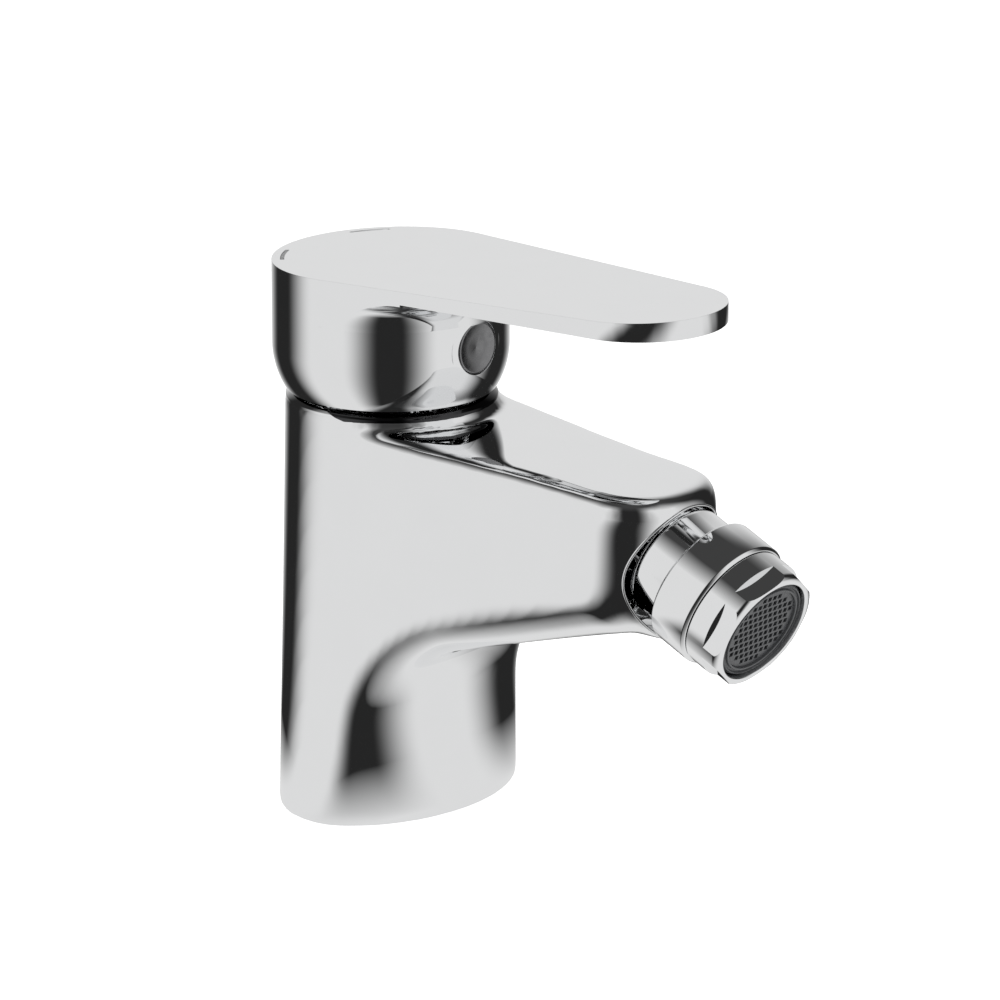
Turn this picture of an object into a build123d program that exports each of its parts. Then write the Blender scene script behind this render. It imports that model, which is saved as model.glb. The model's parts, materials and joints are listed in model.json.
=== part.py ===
from build123d import *
import math
import os

# Single-lever bidet mixer with a ball-jointed aerator.
# Millimetres. +Z is up along the column, +X runs towards the spout, and the
# origin is on the foot, on the axis of the cartridge.

os.makedirs("parts", exist_ok=True)

# General clearances
touch = 0.05            # radial gap of pieces screwed or pushed together
running = 0.10          # radial gap of a turning fit
free = 0.30             # gap between pieces that move past each other
ball_gap = 0.15         # gap between the nested spheres of the ball joint
overrun = 2.0           # how far a cut runs past the face it opens

# Column and foot
neck_radius = 20.55
neck_front_gap = 0.6
neck_top = 82.0
neck_chamfer = 1.1
foot_half_width = 27.2
foot_centre = 1.5
foot_back = -17.9
foot_front = 20.4
front_centre = 0.6
front_flare = 0.8       # how much wider the oval of the column's front is than the foot
column_front = 20.0
foot_edge = 0.5

# Spout
nose_reach = 76.7
nose_half_width = 15.5
nose_corner = 13.0
spout_top_rear = 79.6
spout_top_slope = 0.051
spout_under_at_axis = 29.1
spout_under_slope = 0.28
arch_radius = 13.0
top_rounding = 3.5
under_rounding = 9.0

# Recess of the ball joint, in the nose
joint_height = 60.0
recess_radius = 13.0
recess_depth = 12.7
nipple_thread = 7.5
nipple_bore_depth = 12.0

# Threads under the foot
hose_thread = 4.46
hose_thread_depth = 13.0
hose_offset = -4.0
hose_half_pitch = 9.5
stud_thread = 3.32
stud_depth = 15.0
stud_offset = 9.0

# Rubber ring under the foot
seal_centre = 1.0
seal_half_length = 15.7
seal_half_width = 21.7
seal_width = 2.4
seal_height = 1.5

# Cartridge chamber and waterways
chamber_radius = 17.6
chamber_floor = 48.6
nut_thread = 18.4
nut_seat = 75.0
inlet_port = 3.0
outlet_port = 3.5
outlet_offset = 9.0
outlet_bottom = 39.5
peg_radius = 1.9
peg_length = 3.0
peg_pitch = 12.5
peg_offset = 6.0

# Cartridge, from the chamber floor upwards
base_gap = 0.4
base_thickness = 4.4
port_seal_width = 1.7
port_seal_depth = 1.2
gasket_thickness = 0.5
gasket_radius = 14.6
disc_radius = 14.5
disc_thickness = 3.0
moving_radius = 11.5
moving_thickness = 2.5
pocket_depth = 1.3
carrier_height = 3.9
carrier_floor = 0.6
rotor_gap = 0.3
rotor_radius = 15.7
rotor_flange_height = 10.2
rotor_neck = 12.6
rotor_neck_rise = 8.5
housing_wall = 1.5
housing_neck_wall = 1.9
housing_lip = 6.5

# Ring nut over the cartridge
nut_height = 7.0
nut_collar_height = 1.5
nut_collar_radius = 16.5
nut_notches = 6
nut_notch_width = 3.0

# Lever stem
pivot_height = 71.0
pin_radius = 2.0
pin_inset = 1.7         # how far the pin's ends stay inside the rotor's wall
stem_side = 8.0
stem_top = 102.6
stem_foot = 65.6
stem_ball = 2.6
stem_ball_drop = 8.2
stem_waist = 1.8
lift_range = 22.0

# Dome ring over the nut
dome_radius = 22.1
dome_wall = 1.0
dome_opening = 15.0

# Handle: hood and paddle
hood_radius = 23.0
hood_rim = 82.6
hood_rim_radius = 20.5
hood_shoulder = 91.5
hood_rim_wall = 0.6
hood_wall = 1.8
hood_roof = 103.6
lever_top = 108.3
lever_rise = 2.147
paddle_reach = 64.1
paddle_tip_radius = 16.24
paddle_edge = 2.2
paddle_edge_growth = 0.020
flare_radius = 7.0
handle_edge = 0.5
boss_radius = 7.6
boss_bottom = 90.6
rib_width = 10.0
rib_bottom = 89.8
screw_height = 93.9
screw_radius = 2.5
screw_clearance = 0.15
screw_length = 12.0
screw_key = 1.25
cover_radius = 5.2
cover_depth = 2.8
cover_thickness = 2.0
cover_recess = 0.35
cover_peg = 1.6
mark_radius = 20.9
mark_width = 0.8
mark_depth = 0.25
mark_angle = 36.0
mark_sweep = 20.0

# Ball joint: distances along the sleeve's axis from the ball's centre
joint_reach = 77.45
droop = 23.5
ball_radius = 8.4
ball_flat = 6.05
nipple_bore = 2.8
nipple_neck = 4.2
nipple_collar = 7.9
nipple_collar_height = 0.8
nipple_ring_radius = 11.5
nipple_ring_height = 1.6
nipple_key = 2.6
liner_wall = 0.4
liner_back = -5.0
liner_front = 5.6
seal_wall = 0.4
seal_back = 1.15
seal_front = 3.4
sleeve_radius = 11.4
sleeve_back = -6.9
sleeve_shoulder = 2.5
sleeve_relief = 9.2
sleeve_relief_mouth = 8.0
sleeve_relief_depth = 2.0
collar_radius = 13.2
collar_back = 1.68
collar_front = 10.6
collar_edge = 0.5
thread_start = 3.6
thread_radius = 10.5
seat_end = 6.2
washer_end = 7.6
washer_bore = 7.6

# Aerator
housing_radius = 12.5
housing_front = 19.0
housing_joint = 10.75
housing_bevel = 1.0
housing_throat = 9.0
housing_bore = 10.6
housing_step = 12.2
wrench_across = 22.9
wrench_back = 15.0
wrench_sides = 6
wrench_turn = 20.0
insert_back = 9.4
insert_rim = 10.4
insert_body = 8.85
insert_front = 18.4
insert_wall = 1.1
insert_edge = 0.7
screen_radius = 8.6
screen_recess = 0.5
screen_thickness = 1.4
screen_rows = 11
screen_pitch = 1.42
screen_rib = 0.42
plate_seat = 13.0
plate_thickness = 1.2
plate_holes = 12
plate_hole_radius = 0.6
plate_ring_radius = 5.6

# Levels and places that follow from the sizes above
base_bottom = chamber_floor + base_gap
base_top = base_bottom + base_thickness
fixed_bottom = base_top + gasket_thickness
fixed_top = fixed_bottom + disc_thickness
moving_top = fixed_top + moving_thickness
carrier_top = moving_top + carrier_height
rotor_bottom = carrier_top + rotor_gap
flange_top = rotor_bottom + rotor_flange_height
rotor_top = flange_top + rotor_neck_rise
housing_outer = chamber_radius - 2 * running
housing_inner = rotor_radius + running
housing_neck_inner = rotor_neck + running
housing_neck_outer = housing_neck_inner + housing_neck_wall
nut_top = nut_seat + nut_height
stem_ball_height = pivot_height - stem_ball_drop
recess_floor = nose_reach - recess_depth
nipple_bore_end = recess_floor - nipple_bore_depth
slant = math.radians(droop)
sleeve_dir = Vector(math.cos(slant), 0, -math.sin(slant))
ball_centre = Vector(joint_reach, 0, joint_height)
sleeve_axis = Axis(ball_centre, sleeve_dir)
sleeve_section = Plane(origin=ball_centre, x_dir=sleeve_dir, z_dir=(0, -1, 0))
nipple_axis = Axis(ball_centre, (1, 0, 0))
nipple_section = Plane(origin=ball_centre, x_dir=(1, 0, 0), z_dir=(0, -1, 0))
liner_inner = ball_radius + ball_gap
liner_outer = liner_inner + liner_wall
seal_inner = liner_outer + ball_gap
seal_outer = seal_inner + seal_wall
sleeve_cavity = seal_outer + ball_gap
pin_length = 2 * (rotor_radius - pin_inset)
front_half_width = foot_half_width + front_flare
lift = math.radians(lift_range)


def profile(corners, plane=Plane.XZ):
    """Closed flat face through a list of corners."""
    with BuildSketch(plane) as face:
        with BuildLine():
            Polyline(*corners, close=True)
        make_face()
    return face.sketch


def band(inner, outer, low, high):
    """Corners of a ring's section: radius across, height up."""
    return [(inner, low), (outer, low), (outer, high), (inner, high)]


def tube(back, front, inner, outer):
    """Corners of a ring's section on the ball joint: axis across, radius up."""
    return [(back, inner), (front, inner), (front, outer), (back, outer)]


def across(distance):
    """Plane square to the sleeve's axis, at a distance from the ball's centre."""
    return Plane(origin=ball_centre + sleeve_dir * distance, x_dir=(0, 1, 0), z_dir=sleeve_dir)


def body_outline(plane, half_width, centre, back):
    """Plan of column and spout at one level: a round back, drawn in towards the nose."""
    corner_x = nose_reach - nose_corner
    nose_flat = nose_half_width - nose_corner
    corner_mid = nose_corner * math.sqrt(0.5)
    with BuildSketch(plane) as outline:
        with BuildLine():
            EllipticalCenterArc((centre, 0), centre - back, half_width, start_angle=90, arc_size=180)
            for side in (-1, 1):
                Spline(
                    (centre, side * half_width),
                    (corner_x, side * nose_half_width),
                    tangents=[(1, 0), (1, 0)],
                )
                ThreePointArc(
                    (corner_x, side * nose_half_width),
                    (corner_x + corner_mid, side * (nose_flat + corner_mid)),
                    (nose_reach, side * nose_flat),
                )
            Line((nose_reach, -nose_flat), (nose_reach, nose_flat))
        make_face()
    return outline.sketch


# Body: column and spout are one taper, cut off along the spout's top
view_back = -2 * foot_half_width
view_front = nose_reach + 2 * foot_half_width
arch_lean = math.atan(spout_under_slope)
under_level = spout_under_at_axis + spout_under_slope * column_front

with BuildPart() as taper:
    loft([
        body_outline(Plane.XY, foot_half_width, foot_centre, foot_back),
        body_outline(Plane.XY.offset(neck_top), neck_radius, 0, -neck_radius),
    ])

# Neck: the part of the taper that rises above the spout's top
with BuildPart() as neck:
    add(taper.part)
    revolve(profile(band(0, neck_radius + neck_front_gap, spout_top_rear - top_rounding - neck_front_gap,
                         neck_top + overrun)), axis=Axis.Z, mode=Mode.INTERSECT)

# What lies under the spout and in front of the column's oval front
with BuildPart() as underside:
    extrude(profile([
        (front_centre, -overrun),
        (view_front, -overrun),
        (view_front, spout_under_at_axis + spout_under_slope * view_front),
        (front_centre, spout_under_at_axis + spout_under_slope * front_centre),
    ]), amount=2 * foot_half_width, both=True)
    with BuildSketch(Plane.XY.offset(-2 * overrun)):
        with Locations((front_centre, 0)):
            Ellipse(foot_front - front_centre, front_half_width)
    with BuildSketch(Plane.XY.offset(neck_top)):
        with Locations((front_centre, 0)):
            Ellipse(column_front - front_centre, front_half_width)
    loft(mode=Mode.SUBTRACT)
    arch_edge = underside.edges().sort_by_distance((column_front, 0, under_level))[0]
    fillet(arch_edge, arch_radius)

with BuildPart() as body:
    add(taper.part)
    extrude(profile([
        (view_back, -overrun),
        (view_front, -overrun),
        (view_front, spout_top_rear - spout_top_slope * view_front),
        (view_back, spout_top_rear - spout_top_slope * view_back),
    ]), amount=2 * foot_half_width, both=True, mode=Mode.INTERSECT)
    fillet(body.faces().sort_by(Axis.Z)[-1].edges(), top_rounding)
    add(underside.part, mode=Mode.SUBTRACT)
    under_faces = body.faces().filter_by(
        lambda face: abs(face.center().Y) < touch
        and face.center().X > column_front - overrun
        and face.center().Z < joint_height - recess_radius
    )
    under_edges = under_faces.edges().filter_by(
        lambda edge: abs(edge.center().Y) > touch or edge.center().X > nose_reach - touch
    )
    fillet(under_edges, under_rounding)
    chamfer(body.faces().sort_by(Axis.Z)[0].edges(), foot_edge)
    add(neck.part)
    revolve(profile([
        (neck_radius - neck_chamfer, neck_top),
        (neck_radius - neck_chamfer, neck_top + overrun),
        (neck_radius + overrun, neck_top + overrun),
        (neck_radius + overrun, neck_top - neck_chamfer - overrun),
    ]), axis=Axis.Z, mode=Mode.SUBTRACT)
    revolve(profile(band(0, chamber_radius, chamber_floor, neck_top + overrun)), axis=Axis.Z, mode=Mode.SUBTRACT)
    revolve(profile(band(0, nut_thread, nut_seat - foot_edge, neck_top + overrun)), axis=Axis.Z,
            mode=Mode.SUBTRACT)
    for side in (-1, 1):
        with Locations((hose_offset, side * hose_half_pitch, 0)):
            Cylinder(hose_thread, hose_thread_depth, align=(Align.CENTER, Align.CENTER, Align.MIN),
                     mode=Mode.SUBTRACT)
            Cylinder(inlet_port, chamber_floor + overrun, align=(Align.CENTER, Align.CENTER, Align.MIN),
                     mode=Mode.SUBTRACT)
        with Locations((peg_offset, side * peg_pitch, chamber_floor)):
            Cylinder(peg_radius + running, peg_length + foot_edge,
                     align=(Align.CENTER, Align.CENTER, Align.MAX), mode=Mode.SUBTRACT)
    with Locations((stud_offset, 0, 0)):
        Cylinder(stud_thread, stud_depth, align=(Align.CENTER, Align.CENTER, Align.MIN), mode=Mode.SUBTRACT)
    with BuildSketch(Plane.XY):
        with Locations((seal_centre, 0)):
            Ellipse(seal_half_length, seal_half_width)
            Ellipse(seal_half_length - seal_width, seal_half_width - seal_width, mode=Mode.SUBTRACT)
    extrude(amount=seal_height, mode=Mode.SUBTRACT)
    with Locations((outlet_offset, 0, chamber_floor + overrun)):
        Cylinder(outlet_port, chamber_floor + overrun - outlet_bottom,
                 align=(Align.CENTER, Align.CENTER, Align.MAX), mode=Mode.SUBTRACT)
    with BuildSketch(Plane(origin=(outlet_offset, 0, outlet_bottom),
                           z_dir=(nipple_bore_end - outlet_offset, 0, joint_height - outlet_bottom))):
        Circle(outlet_port)
    extrude(amount=math.hypot(nipple_bore_end - outlet_offset, joint_height - outlet_bottom),
            mode=Mode.SUBTRACT)
    with Locations((outlet_offset, 0, outlet_bottom), (nipple_bore_end, 0, joint_height)):
        Sphere(outlet_port, mode=Mode.SUBTRACT)
    revolve(profile(tube(recess_floor - joint_reach, overrun, 0, recess_radius), nipple_section),
            axis=nipple_axis, mode=Mode.SUBTRACT)
    revolve(profile(tube(nipple_bore_end - joint_reach, recess_floor - joint_reach, 0, nipple_thread + touch),
                    nipple_section), axis=nipple_axis, mode=Mode.SUBTRACT)
body.part.label = "body"
export_step(body.part, "parts/body.step")

# Rubber ring in the foot's groove
with BuildPart() as base_seal:
    with BuildSketch(Plane.XY):
        with Locations((seal_centre, 0)):
            Ellipse(seal_half_length - running, seal_half_width - running)
            Ellipse(seal_half_length - seal_width + running, seal_half_width - seal_width + running,
                    mode=Mode.SUBTRACT)
    extrude(amount=seal_height)
base_seal.part.label = "base_seal"
export_step(base_seal.part, "parts/base_seal.step")

# Lower plate of the cartridge, with seal pockets and two locating pegs
inlet_spots = [(hose_offset, -hose_half_pitch), (hose_offset, hose_half_pitch)]
outlet_spot = (outlet_offset, 0)
inlet_seal_outer = inlet_port + port_seal_width
outlet_seal_outer = outlet_port + port_seal_width
with BuildPart() as cartridge_base:
    with BuildSketch(Plane.XY.offset(base_bottom)):
        Circle(housing_outer)
        with Locations(*inlet_spots):
            Circle(inlet_port, mode=Mode.SUBTRACT)
        with Locations(outlet_spot):
            Circle(outlet_port, mode=Mode.SUBTRACT)
    extrude(amount=base_thickness)
    with BuildSketch(Plane.XY.offset(base_bottom)):
        with Locations(*inlet_spots):
            Circle(inlet_seal_outer)
        with Locations(outlet_spot):
            Circle(outlet_seal_outer)
    extrude(amount=port_seal_depth, mode=Mode.SUBTRACT)
    with BuildSketch(Plane.XY.offset(base_bottom)):
        with Locations((peg_offset, -peg_pitch), (peg_offset, peg_pitch)):
            Circle(peg_radius)
    extrude(amount=-peg_length)
cartridge_base.part.label = "cartridge_base"
export_step(cartridge_base.part, "parts/cartridge_base.step")

# Port seals between the chamber floor and the cartridge
with BuildPart() as inlet_seals:
    with BuildSketch(Plane.XY.offset(chamber_floor)):
        with Locations(*inlet_spots):
            Circle(inlet_seal_outer - touch)
            Circle(inlet_port, mode=Mode.SUBTRACT)
    extrude(amount=base_gap + port_seal_depth)
inlet_seals.part.label = "inlet_seals"
export_step(inlet_seals.part, "parts/inlet_seals.step")

with BuildPart() as outlet_seal:
    with BuildSketch(Plane.XY.offset(chamber_floor)):
        with Locations(outlet_spot):
            Circle(outlet_seal_outer - touch)
            Circle(outlet_port, mode=Mode.SUBTRACT)
    extrude(amount=base_gap + port_seal_depth)
outlet_seal.part.label = "outlet_seal"
export_step(outlet_seal.part, "parts/outlet_seal.step")

# Gasket and fixed ceramic disc, with the same three ports
with BuildPart() as disc_gasket:
    with BuildSketch(Plane.XY.offset(base_top)):
        Circle(gasket_radius)
        with Locations(*inlet_spots):
            Circle(inlet_port, mode=Mode.SUBTRACT)
        with Locations(outlet_spot):
            Circle(outlet_port, mode=Mode.SUBTRACT)
    extrude(amount=gasket_thickness)
disc_gasket.part.label = "disc_gasket"
export_step(disc_gasket.part, "parts/disc_gasket.step")

with BuildPart() as fixed_disc:
    with BuildSketch(Plane.XY.offset(fixed_bottom)):
        Circle(disc_radius)
        with Locations(*inlet_spots):
            Circle(inlet_port, mode=Mode.SUBTRACT)
        with Locations(outlet_spot):
            Circle(outlet_port, mode=Mode.SUBTRACT)
    extrude(amount=disc_thickness)
fixed_disc.part.label = "fixed_disc"
export_step(fixed_disc.part, "parts/fixed_disc.step")

# Moving ceramic disc, with the mixing pocket in its lower face
pocket_length = 2 * moving_radius * 0.62
pocket_width = 2 * moving_radius * 0.42
with BuildPart() as moving_disc:
    with BuildSketch(Plane.XY.offset(fixed_top)):
        Circle(moving_radius)
    extrude(amount=moving_thickness)
    with BuildSketch(Plane.XY.offset(fixed_top)):
        SlotOverall(pocket_length, pocket_width)
    extrude(amount=pocket_depth, mode=Mode.SUBTRACT)
moving_disc.part.label = "moving_disc"
export_step(moving_disc.part, "parts/moving_disc.step")

# Carrier on top of the moving disc, with the socket of the stem's ball
with BuildPart() as disc_carrier:
    with BuildSketch(Plane.XY.offset(moving_top)):
        Circle(moving_radius)
    extrude(amount=carrier_height)
    with BuildSketch(Plane.XY.offset(carrier_top)):
        Circle(stem_ball + running)
    extrude(amount=carrier_floor - carrier_height, mode=Mode.SUBTRACT)
disc_carrier.part.label = "disc_carrier"
export_step(disc_carrier.part, "parts/disc_carrier.step")

# Rotor: flange, neck, slot for the stem and the cross bore of its pin
lift_slope = math.tan(lift)
slot_half = stem_side / 2 + running
slot_extra = stem_side / 2 * (1 / math.cos(lift) - 1) + free
rotor_rise = rotor_top - pivot_height
rotor_drop = pivot_height - rotor_bottom
slot_corners = [
    (-slot_half, rotor_bottom - overrun),
    (slot_half + slot_extra + (rotor_drop + overrun) * lift_slope, rotor_bottom - overrun),
    (slot_half, pivot_height + pin_radius),
    (slot_half, rotor_top + overrun),
    (-slot_half - slot_extra - (rotor_rise + overrun) * lift_slope, rotor_top + overrun),
    (-slot_half, pivot_height - pin_radius),
]
with BuildPart() as rotor:
    revolve(profile([
        (0, rotor_bottom),
        (rotor_radius, rotor_bottom),
        (rotor_radius, flange_top),
        (rotor_neck, flange_top),
        (rotor_neck, rotor_top),
        (0, rotor_top),
    ]), axis=Axis.Z)
    extrude(profile(slot_corners), amount=slot_half, both=True, mode=Mode.SUBTRACT)
    with BuildSketch(Plane.XZ):
        with Locations((0, pivot_height)):
            Circle(pin_radius + touch)
    extrude(amount=pin_length / 2, both=True, mode=Mode.SUBTRACT)
rotor.part.label = "rotor"
export_step(rotor.part, "parts/rotor.step")

with BuildPart() as stem_pin:
    with BuildSketch(Plane.XZ):
        with Locations((0, pivot_height)):
            Circle(pin_radius)
    extrude(amount=(pin_length - free) / 2, both=True)
    chamfer(stem_pin.faces().filter_by(Axis.Y).edges(), pin_radius / 6)
stem_pin.part.label = "stem_pin"
export_step(stem_pin.part, "parts/stem_pin.step")

# Lever stem: square shank, waist and ball foot
with BuildPart() as stem:
    with BuildSketch(Plane.XY.offset(stem_foot)):
        Rectangle(stem_side, stem_side)
    extrude(amount=stem_top - stem_foot)
    chamfer(stem.edges().filter_by(Axis.Z), stem_side / 16)
    revolve(profile(band(0, stem_waist, stem_ball_height, stem_foot)), axis=Axis.Z)
    with Locations((0, 0, stem_ball_height)):
        Sphere(stem_ball)
    with BuildSketch(Plane.XZ):
        with Locations((0, pivot_height)):
            Circle(pin_radius + running)
    extrude(amount=stem_side, both=True, mode=Mode.SUBTRACT)
stem.part.label = "stem"
export_step(stem.part, "parts/stem.step")

# Cartridge housing: wide barrel, shoulder under the nut, neck round the rotor
with BuildPart() as cartridge_housing:
    revolve(profile([
        (housing_inner, base_top),
        (housing_outer, base_top),
        (housing_outer, nut_seat),
        (housing_neck_outer, nut_seat),
        (housing_neck_outer, nut_seat + housing_lip),
        (housing_neck_inner, nut_seat + housing_lip),
        (housing_neck_inner, flange_top + running),
        (housing_inner, flange_top + running),
    ]), axis=Axis.Z)
cartridge_housing.part.label = "cartridge_housing"
export_step(cartridge_housing.part, "parts/cartridge_housing.step")

# Ring nut, notched for its key
nut_bore = housing_neck_outer + running
notch_reach = nut_collar_radius + nut_bore
with BuildPart() as cartridge_nut:
    revolve(profile([
        (nut_bore, nut_seat),
        (nut_thread - touch, nut_seat),
        (nut_thread - touch, nut_top),
        (nut_collar_radius, nut_top),
        (nut_collar_radius, nut_top + nut_collar_height),
        (nut_bore, nut_top + nut_collar_height),
    ]), axis=Axis.Z)
    with BuildSketch(Plane.XY.offset(nut_top)):
        for turn in range(nut_notches // 2):
            Rectangle(notch_reach, nut_notch_width, rotation=turn * 360 / nut_notches)
    extrude(amount=nut_collar_height, mode=Mode.SUBTRACT)
cartridge_nut.part.label = "cartridge_nut"
export_step(cartridge_nut.part, "parts/cartridge_nut.step")

# Dome ring: a slice of a sphere about the lever's pivot, standing on the neck
dome_top = pivot_height + math.sqrt(dome_radius ** 2 - dome_opening ** 2)
with BuildPart() as dome_ring:
    revolve(profile(band(dome_opening, dome_radius, neck_top, dome_top)), axis=Axis.Z)
    with Locations((0, 0, pivot_height)):
        Sphere(dome_radius, mode=Mode.INTERSECT)
        Sphere(dome_radius - dome_wall, mode=Mode.SUBTRACT)
dome_ring.part.label = "dome_ring"
export_step(dome_ring.part, "parts/dome_ring.step")

# Handle: hood with a rounded rim, flare under the paddle, and the paddle itself
rise = math.tan(math.radians(lever_rise))
tangent_turn = math.acos((hood_radius - paddle_tip_radius) / paddle_reach)
outline_top = lever_top + hood_radius
paddle_rear = -hood_radius - overrun
paddle_front = paddle_reach + paddle_tip_radius + overrun
under_at_axis = lever_top - paddle_edge
under_rise = rise - paddle_edge_growth
rim_arc = RadiusArc((hood_rim_radius, hood_rim), (hood_radius, hood_shoulder), -(hood_shoulder - hood_rim) * 1.9)
rim_mid = rim_arc @ 0.5


def paddle_outline(plane):
    """Plan of the lever: two circles and their outer tangents."""
    turn_x = math.cos(tangent_turn)
    turn_y = math.sin(tangent_turn)
    with BuildSketch(plane) as outline:
        with BuildLine():
            ThreePointArc(
                (hood_radius * turn_x, hood_radius * turn_y),
                (-hood_radius, 0),
                (hood_radius * turn_x, -hood_radius * turn_y),
            )
            ThreePointArc(
                (paddle_reach + paddle_tip_radius * turn_x, paddle_tip_radius * turn_y),
                (paddle_reach + paddle_tip_radius, 0),
                (paddle_reach + paddle_tip_radius * turn_x, -paddle_tip_radius * turn_y),
            )
            for side in (-1, 1):
                Line(
                    (hood_radius * turn_x, side * hood_radius * turn_y),
                    (paddle_reach + paddle_tip_radius * turn_x, side * paddle_tip_radius * turn_y),
                )
        make_face()
    return outline.sketch


with BuildPart() as paddle:
    extrude(paddle_outline(Plane.XY.offset(hood_roof)), amount=outline_top - hood_roof)
    extrude(profile([
        (paddle_rear, under_at_axis + under_rise * paddle_rear),
        (paddle_front, under_at_axis + under_rise * paddle_front),
        (paddle_front, lever_top + rise * paddle_front),
        (paddle_rear, lever_top + rise * paddle_rear),
    ]), amount=2 * hood_radius, both=True, mode=Mode.INTERSECT)

# Concave flare from the hood's wall to the paddle's underside, inside the paddle's plan
flare_foot = under_at_axis - flare_radius
with BuildPart() as flare:
    with BuildSketch(Plane.XZ):
        with BuildLine():
            ThreePointArc(
                (hood_radius, flare_foot),
                (hood_radius + flare_radius * (1 - math.sqrt(0.5)), flare_foot + flare_radius * math.sqrt(0.5)),
                (hood_radius + flare_radius, under_at_axis),
            )
            Polyline(
                (hood_radius + flare_radius, under_at_axis),
                (hood_radius + flare_radius, under_at_axis + paddle_edge / 2),
                (0, under_at_axis + paddle_edge / 2),
                (0, flare_foot),
                (hood_radius, flare_foot),
            )
        make_face()
    revolve(axis=Axis.Z)
    extrude(paddle_outline(Plane.XY.offset(flare_foot)), amount=outline_top - flare_foot, mode=Mode.INTERSECT)

with BuildPart() as handle:
    add(paddle.part)
    add(flare.part)
    with BuildSketch(Plane.XZ):
        with BuildLine():
            ThreePointArc((hood_rim_radius, hood_rim), rim_mid, (hood_radius, hood_shoulder))
            Polyline(
                (hood_radius, hood_shoulder),
                (hood_radius, under_at_axis),
                (0, under_at_axis),
                (0, hood_rim),
                (hood_rim_radius, hood_rim),
            )
        make_face()
    revolve(axis=Axis.Z)
    with BuildSketch(Plane.XZ):
        with BuildLine():
            ThreePointArc(
                (hood_rim_radius - hood_rim_wall, hood_rim - overrun),
                (rim_mid.X - (hood_wall + hood_rim_wall) / 2, rim_mid.Y - overrun / 2),
                (hood_radius - hood_wall, hood_shoulder),
            )
            Polyline(
                (hood_radius - hood_wall, hood_shoulder),
                (hood_radius - hood_wall, hood_roof),
                (0, hood_roof),
                (0, hood_rim - overrun),
                (hood_rim_radius - hood_rim_wall, hood_rim - overrun),
            )
        make_face()
    revolve(axis=Axis.Z, mode=Mode.SUBTRACT)
    revolve(profile(band(0, boss_radius, boss_bottom, hood_roof)), axis=Axis.Z)
    rib_reach = hood_radius - hood_wall / 2
    extrude(profile([(0, rib_bottom), (rib_reach, rib_bottom), (rib_reach, hood_roof), (0, hood_roof)]),
            amount=rib_width / 2, both=True)
    with BuildSketch(Plane.YZ.offset(rib_reach)):
        with Locations((0, screw_height)):
            Circle(cover_radius + housing_wall)
    extrude(amount=-(cover_depth + housing_wall))
    with BuildSketch(Plane.XY.offset(boss_bottom - overrun)):
        Rectangle(stem_side + 2 * running, stem_side + 2 * running)
    extrude(amount=stem_top + touch - boss_bottom + overrun, mode=Mode.SUBTRACT)
    with BuildSketch(Plane.YZ):
        with Locations((0, screw_height)):
            Circle(screw_radius + touch)
    extrude(amount=hood_radius, mode=Mode.SUBTRACT)
    with BuildSketch(Plane.YZ.offset(hood_radius - cover_depth)):
        with Locations((0, screw_height)):
            Circle(cover_radius + running)
    extrude(amount=cover_depth + overrun, mode=Mode.SUBTRACT)
    for turn in (180 - mark_angle, 180 + mark_angle):
        with BuildSketch(Plane.XY.offset(lever_top - rise * mark_radius - mark_depth)):
            SlotArc(CenterArc((0, 0), mark_radius, turn - mark_sweep / 2, mark_sweep), mark_width)
        extrude(amount=hood_radius, mode=Mode.SUBTRACT)
handle.part.label = "handle"
export_step(handle.part, "parts/handle.step")

# Enamel in the two index arcs
with BuildPart() as index_marks:
    for turn in (180 - mark_angle, 180 + mark_angle):
        with BuildSketch(Plane.XY.offset(lever_top - rise * mark_radius - mark_depth)):
            SlotArc(CenterArc((0, 0), mark_radius, turn - mark_sweep / 2, mark_sweep), mark_width - touch)
        extrude(amount=mark_depth)
index_marks.part.label = "index_marks"
export_step(index_marks.part, "parts/index_marks.step")

# Set screw against the stem, and the plug that hides it
screw_start = stem_side / 2 + running
with BuildPart() as grub_screw:
    with BuildSketch(Plane.YZ.offset(screw_start)):
        with Locations((0, screw_height)):
            Circle(screw_radius - screw_clearance)
    extrude(amount=screw_length)
    chamfer(grub_screw.faces().sort_by(Axis.X)[0].edges(), screw_radius / 5)
    with BuildSketch(Plane.YZ.offset(screw_start + screw_length)):
        with Locations((0, screw_height)):
            RegularPolygon(screw_key, 6, major_radius=False)
    extrude(amount=-screw_radius, mode=Mode.SUBTRACT)
grub_screw.part.label = "grub_screw"
export_step(grub_screw.part, "parts/grub_screw.step")

cover_face = hood_radius - cover_recess
with BuildPart() as screw_cover:
    with BuildSketch(Plane.YZ.offset(cover_face)):
        with Locations((0, screw_height)):
            Circle(cover_radius)
    extrude(amount=-cover_thickness)
    with BuildSketch(Plane.YZ.offset(cover_face - cover_thickness)):
        with Locations((0, screw_height)):
            Circle(cover_peg)
    extrude(amount=-(cover_depth + cover_thickness) / 2)
    chamfer(screw_cover.faces().sort_by(Axis.X)[-1].edges(), cover_recess)
screw_cover.part.label = "screw_cover"
export_step(screw_cover.part, "parts/screw_cover.step")

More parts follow.
